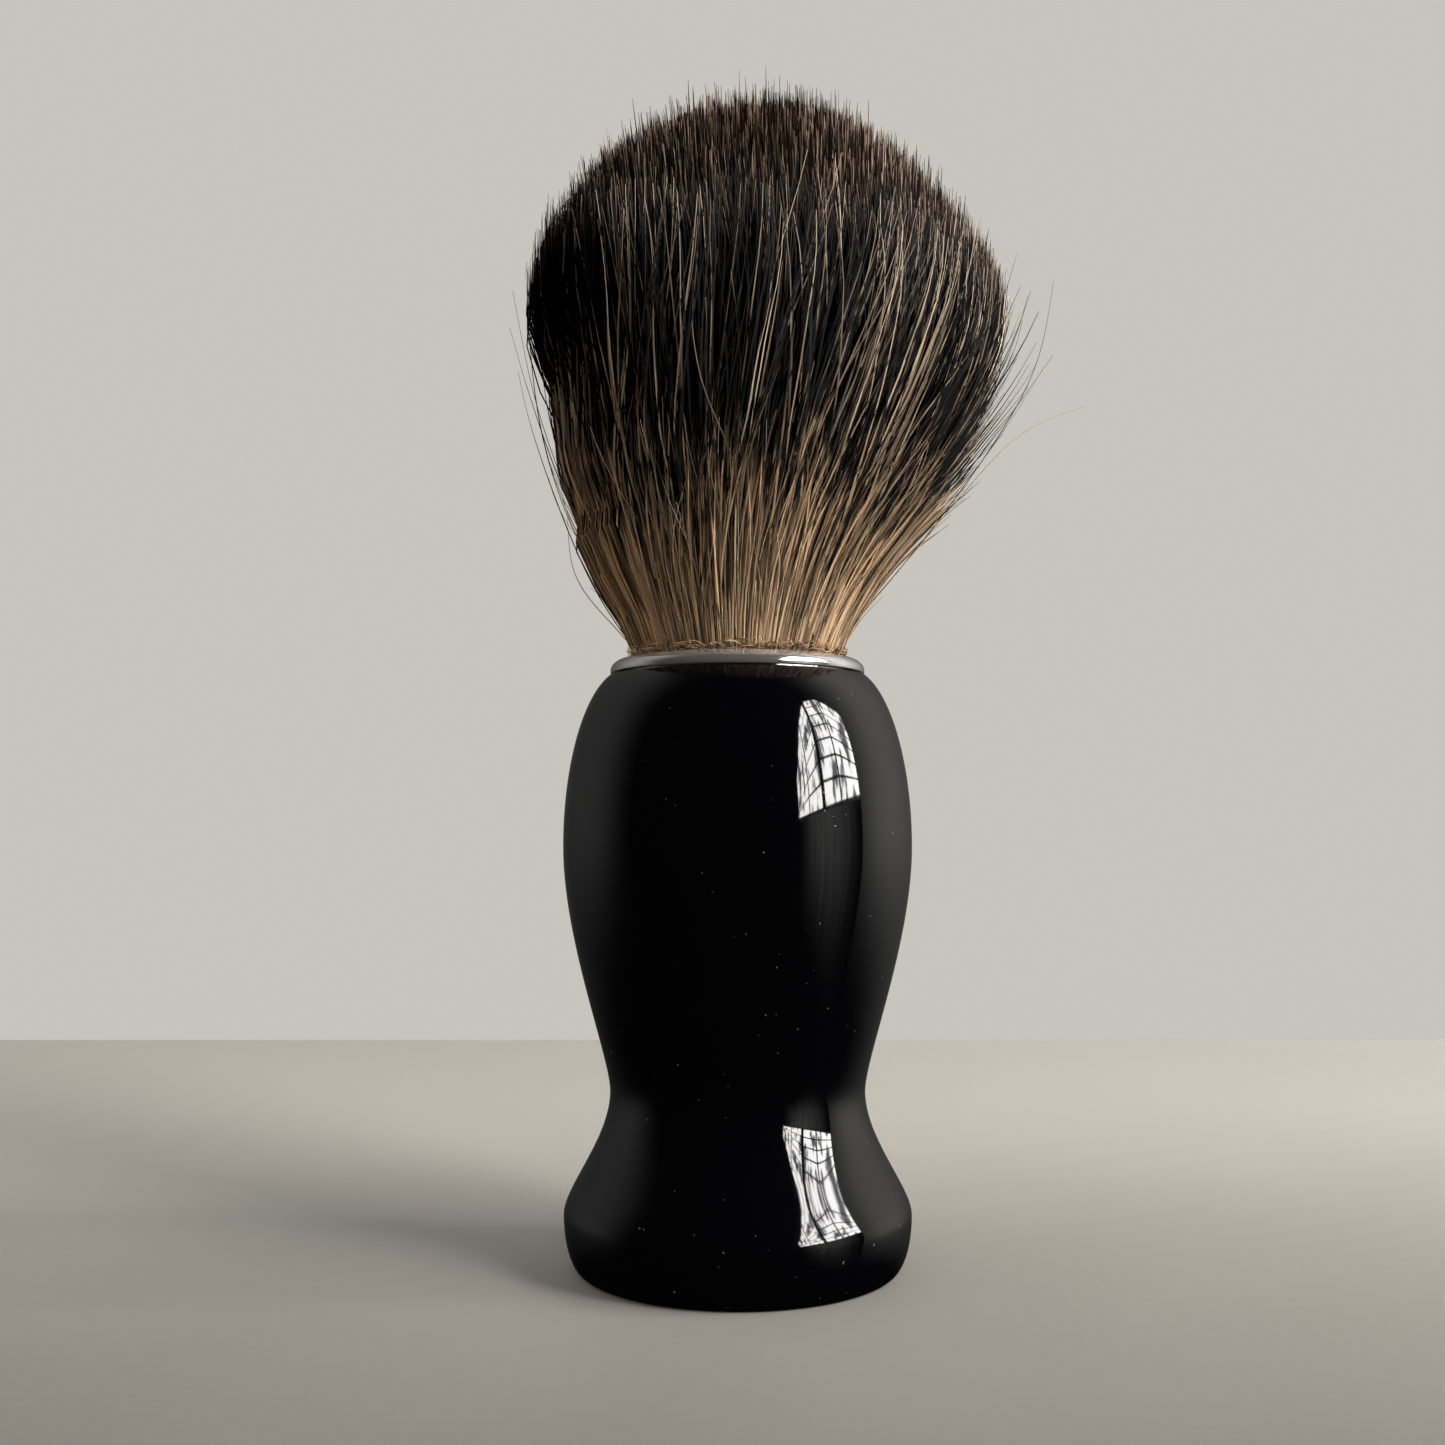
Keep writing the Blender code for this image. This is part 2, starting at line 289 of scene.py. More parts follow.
def badger_hair(name, shine):
    """Tan at the root, a near-black band, then a brown tip; some strands stay pale."""
    finish = new_finish(name, (0.16, 0.12, 0.08), 0.7)
    rise = finish.attribute("rise")
    reach = finish.attribute("reach")
    tint = finish.attribute("tint")
    pale = finish.attribute("pale")
    grain = finish.noise(1.0, 2.0, finish.stretched((900.0, 900.0, 120.0)))
    patch = finish.noise(1.0, 2.0, finish.stretched((260.0, 260.0, 40.0)))
    rare = tint * tint * tint
    rare = rare * rare

    tan = finish.blend(tint, (0.030, 0.017, 0.010, 1.0), (0.90, 0.62, 0.38, 1.0))
    dark = finish.blend(rare, (0.0008, 0.0007, 0.0007, 1.0), (0.014, 0.0085, 0.0065, 1.0))
    brown = finish.blend(rare, (0.008, 0.0042, 0.0027, 1.0), (0.78, 0.55, 0.40, 1.0))
    straw = finish.blend(tint, (0.32, 0.22, 0.145, 1.0), (0.97, 0.77, 0.56, 1.0))

    start = rise + (grain - 0.5) * 4.0 * MM + (patch - 0.5) * 14.0 * MM
    in_band = finish.step(start, BAND_START - BAND_BLUR, BAND_START + BAND_BLUR)
    in_tip = finish.step(reach, TIP_COLOUR_L, 0.0)
    colour = finish.blend(in_band, tan, dark)
    colour = finish.blend(in_tip, colour, brown)
    colour = finish.blend(pale * in_band, colour, straw)
    finish.shade(
        Base_Color=colour,
        Roughness=0.80 - pale * 0.42 - grain * 0.12,
        Specular_IOR_Level=shine,
    )
    return finish.owner


def under_hair():
    """The shaded inside of the knot, seen only between strands."""
    finish = new_finish("under_hair", (0.006, 0.005, 0.004), 0.8)
    strands = finish.noise(1.0, 3.0, finish.stretched((3500.0, 3500.0, 60.0)))
    finish.shade(
        Base_Color=finish.blend(strands, (0.002, 0.0016, 0.0014, 1.0), (0.014, 0.010, 0.007, 1.0)),
        Normal=finish.bump(strands, 0.8, 0.15 * MM),
    )
    return finish.owner


def plug_plastic():
    """Satin black moulding with a fine spark-eroded grain."""
    finish = new_finish("plug_plastic", (0.012, 0.012, 0.013), 0.45)
    grain = finish.noise(3500.0, 2.0)
    finish.shade(
        Base_Color=finish.blend(grain, (0.009, 0.009, 0.010, 1.0), (0.017, 0.017, 0.018, 1.0)),
        Roughness=grain * 0.2 + 0.38,
        Normal=finish.bump(grain, 0.4, 0.02 * MM),
    )
    return finish.owner


def ballast_iron():
    """Raw cast iron: grainy, darker in the pits and with a first bloom of rust."""
    finish = new_finish("ballast_iron", (0.20, 0.20, 0.21), 0.6, 1.0)
    grain = finish.noise(1500.0, 5.0)
    rust = finish.step(finish.noise(260.0, 4.0), 0.56, 0.70)
    bare = finish.blend(grain, (0.12, 0.12, 0.125, 1.0), (0.28, 0.28, 0.285, 1.0))
    finish.shade(
        Base_Color=finish.blend(rust * 0.7, bare, (0.13, 0.055, 0.025, 1.0)),
        Roughness=grain * 0.3 + 0.42,
        Metallic=1.0 - rust * 0.8,
        Normal=finish.bump(grain, 0.6, 0.05 * MM),
    )
    return finish.owner


def cured_adhesive():
    """Cured glue: honey yellow, cloudy, with trapped bubbles."""
    finish = new_finish("adhesive", (0.62, 0.56, 0.40), 0.4)
    cloud = finish.noise(300.0, 3.0)
    cells = finish.node("TexVoronoi", inputs={"Vector": finish.place(), "Scale": 900.0})
    bubbles = finish.step(cells, 0.30, 0.12)
    finish.shade(
        Base_Color=finish.blend(cloud, (0.52, 0.45, 0.29, 1.0), (0.70, 0.65, 0.50, 1.0)),
        Roughness=cloud * 0.3 + 0.25,
        Normal=finish.bump(bubbles, 0.5, 0.05 * MM),
    )
    return finish.owner


def cup_plastic():
    """Natural white moulding with faint flow lines round the cup."""
    finish = new_finish("cup_plastic", (0.75, 0.74, 0.70), 0.5)
    flow = finish.noise(1.0, 3.0, finish.stretched((120.0, 120.0, 1200.0)))
    finish.shade(
        Base_Color=finish.blend(flow, (0.70, 0.69, 0.64, 1.0), (0.80, 0.79, 0.76, 1.0)),
        Roughness=flow * 0.2 + 0.4,
        Normal=finish.bump(flow, 0.3, 0.02 * MM),
    )
    return finish.owner


def cast_epoxy():
    """Amber casting resin, glossy, darker where it wicked up the hair."""
    finish = new_finish("cast_epoxy", (0.50, 0.30, 0.10), 0.2)
    wick = finish.noise(1.0, 3.0, finish.stretched((1600.0, 1600.0, 200.0)))
    finish.shade(
        Base_Color=finish.blend(wick, (0.34, 0.18, 0.055, 1.0), (0.60, 0.40, 0.16, 1.0)),
        Roughness=wick * 0.2 + 0.1,
        Normal=finish.bump(wick, 0.3, 0.03 * MM),
    )
    return finish.owner


def waxed_thread():
    """Twisted cotton thread with wax filling part of its lay."""
    finish = new_finish("waxed_thread", (0.66, 0.60, 0.48), 0.8)
    lay = finish.node(
        "TexWave",
        {"wave_type": "BANDS", "bands_direction": "DIAGONAL"},
        {"Vector": finish.place(), "Scale": 1400.0, "Distortion": 1.5, "Detail": 2.0},
        output="Fac",
    )
    wax = finish.step(finish.noise(700.0, 3.0), 0.45, 0.65)
    cotton = finish.blend(lay, (0.50, 0.44, 0.33, 1.0), (0.74, 0.68, 0.55, 1.0))
    finish.shade(
        Base_Color=finish.blend(wax * 0.5, cotton, (0.70, 0.62, 0.42, 1.0)),
        Roughness=0.85 - wax * 0.35,
        Normal=finish.bump(lay, 0.8, 0.08 * MM),
    )
    return finish.owner


# ---------------------------------------------------------------- turned pieces


def bezier(start, pull_start, pull_end, end, steps):
    """Points of a cubic curve after its start, in the plane of radius and height."""
    points = []
    for step in range(1, steps + 1):
        t = step / steps
        weights = ((1 - t) ** 3, 3 * t * (1 - t) ** 2, 3 * t * t * (1 - t), t**3)
        corners = (start, pull_start, pull_end, end)
        points.append(tuple(sum(w * c[axis] for w, c in zip(weights, corners)) for axis in (0, 1)))
    return points


def upright_curve(start, end, pulls, steps):
    """A curve that leaves and arrives upright. Each pull is a share of the height."""
    height = end[1] - start[1]
    pull_start = (start[0], start[1] + pulls[0] * height)
    pull_end = (end[0], end[1] - pulls[1] * height)
    return bezier(start, pull_start, pull_end, end, steps)


def arc(centre, radii, start, end, steps):
    """Points of an elliptical arc between two angles given in degrees."""
    points = []
    for step in range(steps + 1):
        angle = math.radians(start + (end - start) * step / steps)
        points.append((centre[0] + radii[0] * math.cos(angle), centre[1] + radii[1] * math.sin(angle)))
    return points


def finished(name, solid, finish):
    """Turn a bmesh into a smooth piece with its finish, riding on the brush."""
    bmesh.ops.recalc_face_normals(solid, faces=solid.faces)
    mesh = bpy.data.meshes.new(name)
    solid.to_mesh(mesh)
    solid.free()
    mesh.materials.append(finish)
    mesh.shade_smooth()
    mesh.set_sharp_from_angle(angle=SHARP_OVER)
    piece = bpy.data.objects.new(name, mesh)
    bpy.context.scene.collection.objects.link(piece)
    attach(piece, "root")
    return piece


def turned(outline, ring=False):
    """Spin (radius, height) points about Z into a closed bmesh."""
    solid = bmesh.new()
    points = [solid.verts.new((r, 0.0, z)) for r, z in outline]
    for start, end in zip(points, points[1:]):
        solid.edges.new((start, end))
    if ring:
        solid.edges.new((points[-1], points[0]))
    bmesh.ops.spin(
        solid,
        geom=solid.verts[:] + solid.edges[:],
        cent=(0, 0, 0),
        axis=(0, 0, 1),
        angle=math.tau,
        steps=TURNED_SIDES,
        use_merge=True,
    )
    bmesh.ops.remove_doubles(solid, verts=solid.verts, dist=MERGE)
    return solid


def polished_handle():
    """The turned body: rolled foot, flare, waist, belly and shoulder, hollow at both ends."""
    foot = arc((FOOT_R, FLARE[1]), (FLARE[0] - FOOT_R, FLARE[1]), -90, 0, 14)
    shoulder_end = (
        RIM_R + SHOULDER_REACH * math.sin(SHOULDER_ANGLE),
        HANDLE_H - SHOULDER_REACH * math.cos(SHOULDER_ANGLE),
    )
    belly_pull = (BELLY[0], BELLY[1] + SHOULDER_PULL * (HANDLE_H - BELLY[1]))
    shoulder = bezier(BELLY, belly_pull, shoulder_end, (RIM_R, HANDLE_H), 28)
    outline = [
        (0.0, CHAMBER_TOP),
        (CHAMBER_R, CHAMBER_TOP),
        (CHAMBER_R, PLUG_SEAT),
        (PLUG_BORE_R, PLUG_SEAT),
        (PLUG_BORE_R, FOOT_CHAMFER),
        (PLUG_BORE_R + FOOT_CHAMFER, 0.0),
        *foot,
        *upright_curve(FLARE, WAIST, LOWER_PULLS, 24),
        *upright_curve(WAIST, BELLY, UPPER_PULLS, 26),
        *shoulder,
        (SOCKET_R, HANDLE_H),
        (SOCKET_R, SOCKET_FLOOR),
        (0.0, SOCKET_FLOOR),
    ]
    piece = finished("polished_handle", turned(outline), black_resin())
    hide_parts("handle")
    return piece


def polished_collar():
    """The plated ring: skirt in the socket, rolled edge and domed lip on the rim."""
    crest_r = COLLAR_MOUTH_R + COLLAR_MOUTH
    edge_z = COLLAR_SEAT + COLLAR_EDGE
    roll_middle = (COLLAR_R - COLLAR_ROLL, COLLAR_SEAT + COLLAR_ROLL)
    rolled_edge = arc(roll_middle, (COLLAR_ROLL, COLLAR_ROLL), -90, -20, 5)
    outline = [
        (COLLAR_MOUTH_R, COLLAR_FOOT),
        (COLLAR_SKIRT_R, COLLAR_FOOT),
        (COLLAR_SKIRT_R, COLLAR_SEAT),
        *rolled_edge,
        *arc((crest_r, edge_z), (COLLAR_R - crest_r, COLLAR_TOP - edge_z), 0, 90, 18),
        *arc((crest_r, COLLAR_TOP - COLLAR_MOUTH), (COLLAR_MOUTH, COLLAR_MOUTH), 100, 180, 6),
    ]
    piece = finished("polished_collar", turned(outline, ring=True), polished_chrome())
    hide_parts("collar")
    return piece


# ---------------------------------------------------------------- hair


def ease(share):
    """Ease from 0 to 1 with no corner at either end."""
    share = np.clip(share, 0.0, 1.0)
    return share * share * (3 - 2 * share)


def lean(height):
    """How far the middle of the hair stands off the handle's axis at a height."""
    share = np.clip((height - COLLAR_TOP) / (BLOOM_Z - COLLAR_TOP), 0.0, 1.0)
    return BLOOM_LEAN * ease(share**LEAN_POWER)


def flare_outline(steps):
    """The knot's side from the collar up to the bloom, as (radius, height) points."""
    collar_edge = (BUNDLE_R, COLLAR_TOP)
    return [collar_edge] + bezier(
        collar_edge,
        (BUNDLE_R + FLARE_SLOPE * FLARE_PULL, COLLAR_TOP + FLARE_PULL),
        (BLOOM_R, BLOOM_Z - BLOOM_PULL),
        (BLOOM_R, BLOOM_Z),
        steps,
    )


FLARE_R, FLARE_Z = np.array(flare_outline(40)).T


def tip_places(share, angle, random):
    """Radius and height where strands end, from how far out each is rooted (0 to 1) and its side."""
    right, left = CROWN_POWER
    power = left + (right - left) * (0.5 + 0.5 * np.cos(angle))
    polar = np.arccos(1 - share**2 * (1 - math.cos(TIP_SPREAD)))
    polar += random.normal(0.0, math.radians(2.5), share.size)
    rise = math.pi / 2 - np.abs(polar)
    over = np.sin(np.clip(rise, 0.0, None))
    height = BLOOM_Z + (CROWN_Z - BLOOM_Z) * over ** (2 / power)
    height += np.clip(rise, None, 0.0) * BLOOM_R * 2.2
    radius = np.where(rise > 0, BLOOM_R * np.cos(rise), np.interp(height, FLARE_Z, FLARE_R))
    return radius, height


def cubic(start, pull_start, pull_end, end, t):
    """A cubic curve for each strand (rows) at each t (columns)."""
    start, pull_start, pull_end, end = (np.asarray(x)[:, None] for x in (start, pull_start, pull_end, end))
    return (
        start * (1 - t) ** 3
        + pull_start * 3 * t * (1 - t) ** 2
        + pull_end * 3 * t * t * (1 - t)
        + end * t**3
    )


def combed(random, share, angle, points, first=0.0, last=1.0, turn=0.05, wave=0.30 * MM, lift=0.0):
    """Paths of strands that fan out from the bundle: an array of (strand, point, xyz)."""
    count = share.size
    tip_r, tip_z = tip_places(share, angle, random)
    tip_z = tip_z + random.normal(0.0, 0.8 * MM, count) + random.exponential(0.6 * MM, count)
    splay = random.normal(0.0, 0.4 * MM, count)
    t = np.linspace(first, 1.0, points)[None, :] * np.reshape(last, (-1, 1))
    root_r = share * BUNDLE_R
    rise = tip_z - ROOT_Z
    radius = cubic(
        root_r,
        root_r * (1 + FLARE_SLOPE * 0.34 * rise / BUNDLE_R),
        tip_r - 0.008 * rise * share,
        tip_r + splay,
        t,
    )
    height = cubic(np.full(count, ROOT_Z), ROOT_Z + 0.34 * rise, tip_z - 0.40 * rise, tip_z, t)
    swing = random.normal(0.0, turn, count)[:, None] * t**1.5
    reach = radius + np.reshape(lift, (-1, 1)) * t**3
    around = angle[:, None] + swing
    side, out = wander(random, t, wave)
    reach = reach + 0.8 * out
    x = reach * np.cos(around) - side * np.sin(around) + lean(height)
    y = reach * np.sin(around) + side * np.cos(around)
    return np.stack((x, y, height), axis=2)


def wander(random, t, wave):
    """How far each strand strays sideways and outwards along its length: a slow and a quick wave."""
    count = t.shape[0]
    strays = []
    for _ in range(2):
        slow = random.gamma(2.0, wave / 2, count)[:, None]
        quick = random.gamma(1.2, wave / 12, count)[:, None]
        beats = random.uniform(0.7, 1.6, count)[:, None]
        phase = random.uniform(0, math.tau, (2, count))[:, :, None]
        swing = slow * np.sin(math.tau * beats * t + phase[0])
        swing += quick * np.sin(math.tau * beats * 2.9 * t + phase[1])
        flick = random.normal(0.0, 1.5 * wave, count)[:, None]
        strays.append(swing * ease(t * 2.2) + flick * t**6)
    return strays


def from_bundle(paths):
    """Carry strands straight down inside the collar, from where they start to fan out."""
    foot = paths[:, :1].copy()
    foot[:, :, 2] = BUNDLE_FOOT
    return np.concatenate((foot, paths), axis=1)


def gathered(paths, roots, guides, guide_roots, pull, first=0.0):
    """Draw strands towards their nearest guide, more and more towards the tips."""
    nearest = np.abs(roots[:, None] - guide_roots[None, :]).argmin(axis=1)
    along = np.linspace(first, 1.0, paths.shape[1])
    hold = pull[:, None] * ease((along - 0.15) / 0.85)[None, :]
    return paths + (guides[nearest] - paths) * hold[:, :, None]


def strand_section():
    """The triangle that gives each strand its thickness."""
    curve = bpy.data.curves.new("strand_section", "CURVE")
    outline = curve.splines.new("POLY")
    outline.points.add(STRAND_SIDES - 1)
    for corner, point in enumerate(outline.points):
        angle = math.tau * corner / STRAND_SIDES
        point.co = (math.cos(angle), math.sin(angle), 0.0, 1.0)
    outline.use_cyclic_u = True
    section = bpy.data.objects.new("strand_section", curve)
    bpy.context.scene.collection.objects.link(section)
    return section


def strand_mesh(name, paths, widths):
    """Sweep the strand section along each path, as open tubes in the order of the paths."""
    section = strand_section()
    curve = bpy.data.curves.new(name, "CURVE")
    curve.dimensions = "3D"
    curve.bevel_mode = "OBJECT"
    curve.bevel_object = section
    points = paths.shape[1]
    for path, width in zip(paths, widths):
        strand = curve.splines.new("POLY")
        strand.points.add(points - 1)
        strand.points.foreach_set("co", np.column_stack((path, np.ones(points))).ravel())
        strand.points.foreach_set("radius", width)
    guide = bpy.data.objects.new(name, curve)
    bpy.context.scene.collection.objects.link(guide)
    graph = bpy.context.evaluated_depsgraph_get()
    mesh = bpy.data.meshes.new_from_object(guide.evaluated_get(graph))
    bpy.data.objects.remove(guide)
    bpy.data.objects.remove(section)
    return mesh


def mark(mesh, marks):
    """Keep numbers given for each strand's points on the corners of its tube."""
    for name, values in marks.items():
        layer = mesh.attributes.new(name, "FLOAT", "POINT")
        layer.data.foreach_set("value", np.repeat(values.ravel(), STRAND_SIDES))


def lay_out(mesh, count, points):
    """Give each strand an upright strip of its own in the map that the finish is baked to."""
    columns = WIDE_MAP if count > WIDE_MAP else NARROW_MAP
    rows = math.ceil(count / columns)
    lane = np.repeat(np.arange(count), points * STRAND_SIDES)
    along = np.tile(np.repeat(np.linspace(0.0, 1.0, points), STRAND_SIDES), count)
    corner = np.tile(np.arange(STRAND_SIDES) / (STRAND_SIDES - 1), count * points)
    loops, faces = len(mesh.loops), len(mesh.polygons)
    owner, start, sides = np.empty(loops, int), np.empty(faces, int), np.empty(faces, int)
    mesh.loops.foreach_get("vertex_index", owner)
    mesh.polygons.foreach_get("loop_start", start)
    mesh.polygons.foreach_get("loop_total", sides)
    across = (lane % columns + STRIP_EDGE + (1 - 2 * STRIP_EDGE) * corner) / columns
    up = (lane // columns + STRIP_EDGE + (1 - 2 * STRIP_EDGE) * along) / rows
    places = np.stack((across, up), axis=1)[owner]
    tips = start[sides == STRAND_SIDES]
    places[tips, 1] += (0.5 - along[owner[tips]]) * STRIP_EDGE / rows
    while mesh.uv_layers:
        mesh.uv_layers.remove(mesh.uv_layers[0])
    mesh.uv_layers.new(name="OFBake").data.foreach_set("uv", places.ravel())


def hair_piece(name, random, paths, pale, finish, thickness=STRAND_R, taper=TAPER_SHARE, brown=0.0):
    """One piece of hair from strand paths, with what its finish reads along each strand."""
    count, points = paths.shape[:2]
    tint = random.random(count) ** 1.25
    runs = np.linalg.norm(np.diff(paths, axis=1), axis=2)
    along = np.concatenate((np.zeros((count, 1)), np.cumsum(runs, axis=1)), axis=1)
    reach = along[:, -1:] - along
    fine = ease(reach / (along[:, -1:] * taper))
    bulk = thickness * random.uniform(0.7, 1.25, (count, 1))
    mesh = strand_mesh(name, paths, STRAND_TIP_R + (bulk - STRAND_TIP_R) * fine)
    spread = np.ones((1, points))
    right_side = ease((paths[:, -1:, 0] - 12 * MM) / (12 * MM))
    early = random.normal(0.0, BAND_JITTER, (count, 1)) + EARLY_BAND * right_side
    mark(
        mesh,
        {
            "rise": paths[:, :, 2] - COLLAR_TOP + early,
            "reach": reach + brown,
            "tint": tint[:, None] * spread,
            "pale": pale[:, None] * spread,
        },
    )
    solid = bmesh.new()
    solid.from_mesh(mesh)
    ends = [edge for edge in solid.edges if edge.is_boundary]
    bmesh.ops.holes_fill(solid, edges=ends, sides=STRAND_SIDES)
    piece = finished(name, solid, finish)
    lay_out(piece.data, count, points)
    return piece


def towards_light(angle):
    """1 on the side that the hair leans to, 0 on the other."""
    return (0.5 + 0.5 * np.cos(angle - math.radians(-5))) ** 2


def short_tips(random, angle):
    """How much nearer to the tip the brown starts on the knot's side than on its crown."""
    return random.uniform(1.0, 3.5, angle.size)[:, None] * MM


def pale_share(random, angle, least, left, right):
    """How pale each strand is past the tan part: most are dark, above all front and back."""
    chance = least + left * (0.5 - 0.5 * np.cos(angle)) ** 4 + right * towards_light(angle) ** 2
    return np.where(random.random(angle.size) < chance, random.uniform(0.25, 1.0, angle.size), 0.0)


def rooted(random, middle, inner, outer, count):
    """Where strands are rooted in one quarter of the bundle: (share of the radius, angle)."""
    angle = random.uniform(middle - math.pi / 4, middle + math.pi / 4, count)
    return np.sqrt(random.uniform(inner**2, outer**2, count)), angle


def locks(random, middle, inner, outer, count, points, first, pull):
    """Strands of one quarter, gathered into small locks: (paths, angles)."""
    share, angle = rooted(random, middle, inner, outer, count)
    guide_share, guide_angle = rooted(random, middle, inner, outer, count // STRANDS_PER_LOCK)
    guides = combed(random, guide_share, guide_angle, points, first, turn=0.10, wave=0.50 * MM)
    paths = combed(random, share, angle, points, first, turn=0.08, wave=0.45 * MM)
    pulls = random.uniform(0.0, pull, count)
    roots, guide_roots = share * np.exp(1j * angle), guide_share * np.exp(1j * guide_angle)
    return gathered(paths, roots, guides, guide_roots, pulls, first), angle


def frayed(random, middle, count, points):
    """Short outermost strands that splay away from the knot: (paths, angles)."""
    share, angle = rooted(random, middle, 0.97, 1.0, count)
    last = random.uniform(0.40, 0.98, count)
    lift = np.minimum(random.gamma(1.7, 0.60 * MM, count), LIFT_MOST)
    lift = lift * (0.5 + 1.6 * towards_light(angle)) / last**3
    paths = combed(random, share, angle, points, 0.0, last, turn=0.12, wave=0.35 * MM, lift=lift)
    return paths, angle


def down_hair(finish):
    """Thin wavy hairs that wander over the tan part, from the collar to the dark band."""
    random = np.random.default_rng(DOWN_SEED)
    for index, side in enumerate(SECTORS):
        share, angle = rooted(random, index * math.pi / 2, 0.97, 1.0, DOWN_COUNT)
        last = random.uniform(0.15, 0.62, DOWN_COUNT)
        lift = random.gamma(1.6, 0.22 * MM, DOWN_COUNT) / last**3
        paths = combed(
            random, share, angle, DOWN_POINTS, 0.0, last, turn=0.30, wave=0.8 * MM, lift=lift
        )
        pale = np.full(DOWN_COUNT, 0.6)
        hair_piece("down_hair_" + side, random, from_bundle(paths), pale, finish, DOWN_R, 0.5, TIP_COLOUR_L)


def sector_hair(index, side, soft_finish, bright_finish):
    """The outer strands, the guard hairs over them and the crown of one quarter of the knot."""
    middle = index * math.pi / 2
    random = np.random.default_rng(SECTOR_SEED + index)
    paths, angle = locks(random, middle, OUTER_SHARE, 1.0, OUTER_COUNT, OUTER_POINTS, 0.0, 0.7)
    pale = pale_share(random, angle, 0.01, 0.05, 0.08)
    brown = short_tips(random, angle)
    hair_piece("outer_hair_" + side, random, from_bundle(paths), pale, soft_finish, brown=brown)

    share, angle = rooted(random, middle, 0.90, 1.0, GUARD_COUNT)
    over = combed(random, share, angle, GUARD_POINTS, turn=0.16, wave=0.55 * MM, lift=0.5 * MM)
    loose, loose_angle = frayed(random, middle, GUARD_COUNT, GUARD_POINTS)
    paths = from_bundle(np.concatenate((over, loose)))
    over_pale = pale_share(random, angle, 0.03, 0.75, 0.70)
    pale = np.concatenate((over_pale, pale_share(random, loose_angle, 0.02, 0.12, 0.22)))
    brown = short_tips(random, pale)
    hair_piece("guard_hair_" + side, random, paths, pale, bright_finish, PALE_STRAND_R, 0.3, brown)

    paths, angle = locks(
        random, middle, 0.0, OUTER_SHARE, CROWN_COUNT, CROWN_POINTS, CROWN_START, 0.5
    )
    pale = pale_share(random, angle, 0.06, 0.0, 0.03)
    hair_piece("crown_hair_" + side, random, paths, pale, soft_finish, CROWN_STRAND_R)


def stray(points, bends):
    """A smooth path close to a stray hair's own places, given in millimetres."""
    places = np.array(points) * MM
    t = np.linspace(0.0, 1.0, len(points))
    fine = np.linspace(0.0, 1.0, STRAY_POINTS)
    path = np.stack([np.interp(fine, t, places[:, axis]) for axis in range(3)], axis=1)
    for _ in range(bends):
        path[1:-1] = (path[:-2] + 2 * path[1:-1] + path[2:]) / 4
    return path


def fuzz(random, count):
    """Tiny loose curls just above the collar: an array of (strand, point, xyz)."""
    angle = random.uniform(0.0, math.tau, count)[:, None]
    t = np.linspace(0.0, 1.0, FUZZ_POINTS)[None, :]
    curl = random.uniform(0.12, 0.5, count)[:, None] * MM
    turns = random.uniform(0.3, 1.1, count)[:, None]
    start = random.uniform(0.0, math.tau, count)[:, None]
    along = random.uniform(-1.6, 1.6, count)[:, None] * MM * t + curl * np.cos(start + math.tau * turns * t)
    rise = random.exponential(0.15 * MM, count)[:, None] + random.uniform(0.0, 0.6, count)[:, None] * MM * t
    height = COLLAR_TOP + 0.2 * MM + rise + 0.6 * curl * np.sin(start + math.tau * turns * t)
    reach = BUNDLE_R + 0.35 * MM + FLARE_SLOPE * (height - COLLAR_TOP)
    reach = reach + 0.45 * curl * (1 - np.cos(math.pi * t))
    x = reach * np.cos(angle) - along * np.sin(angle)
    y = reach * np.sin(angle) + along * np.cos(angle)
    return np.stack((x, y, height), axis=2)


def stray_hair(finish):
    """The few long hairs that stand clear of the knot, and the fuzz above the collar."""
    random = np.random.default_rng(STRAY_SEED)
    long_ones = [
        stray([(-10, 0, 59), (-17, 0, 74), (-20.5, 0, 84), (-22.4, 0, 90.7)], 12),
        stray([(-9, -2, 59), (-15.5, -3, 71), (-19.5, -4, 82), (-21.6, -4, 93)], 12),
        stray([(-9.4, -1, 58), (-13.9, -1, 64), (-17.6, -1, 73), (-20.4, -1, 81), (-21.4, -1, 86)], 12),
        stray([(-9.3, 1, 58), (-13.4, 1, 66), (-16.6, 1, 71), (-20.2, 1, 82), (-21.0, 1, 97)], 12),
        stray([(-9.3, 0, 58), (-11.9, 0, 61), (-14.8, 0, 64), (-16.4, 0, 67), (-16.6, 0, 72)], 12),
        stray([(10, 0, 60), (17.1, 0, 67.9), (25, 0, 78.5), (30.0, 0, 86.8), (31.2, 0, 95.3)], 12),
        stray([(12, -2, 62), (20, -1, 71.5), (26.4, 0, 79.4), (30.5, 0, 81.6), (34.2, 0, 82.8)], 12),
        stray([(9, -3, 60), (17, -4, 69), (24, -4, 77), (29.4, -4, 85.5)], 12),
        stray([(10, 2, 60), (19, 2, 72), (25.5, 2, 80), (31.5, 2, 88.5)], 12),
        stray(
            [(-4.2, -19, 87), (-3.9, -22.2, 82.5), (-3.1, -21.3, 78.5), (-0.4, -19.2, 73.5), (0.9, -15, 68)],
            10,
        ),
    ]
    pale = np.array([0.2, 0.0, 0.3, 0.0, 0.6, 0.1, 0.9, 0.3, 0.0, 1.0])
    hair_piece("stray_hair", random, np.array(long_ones), pale, finish, STRAY_R, 0.5)
    curls = fuzz(random, FUZZ_COUNT)
    hair_piece("collar_fuzz", random, curls, np.zeros(len(curls)), finish, FUZZ_R, 0.3, TIP_COLOUR_L)


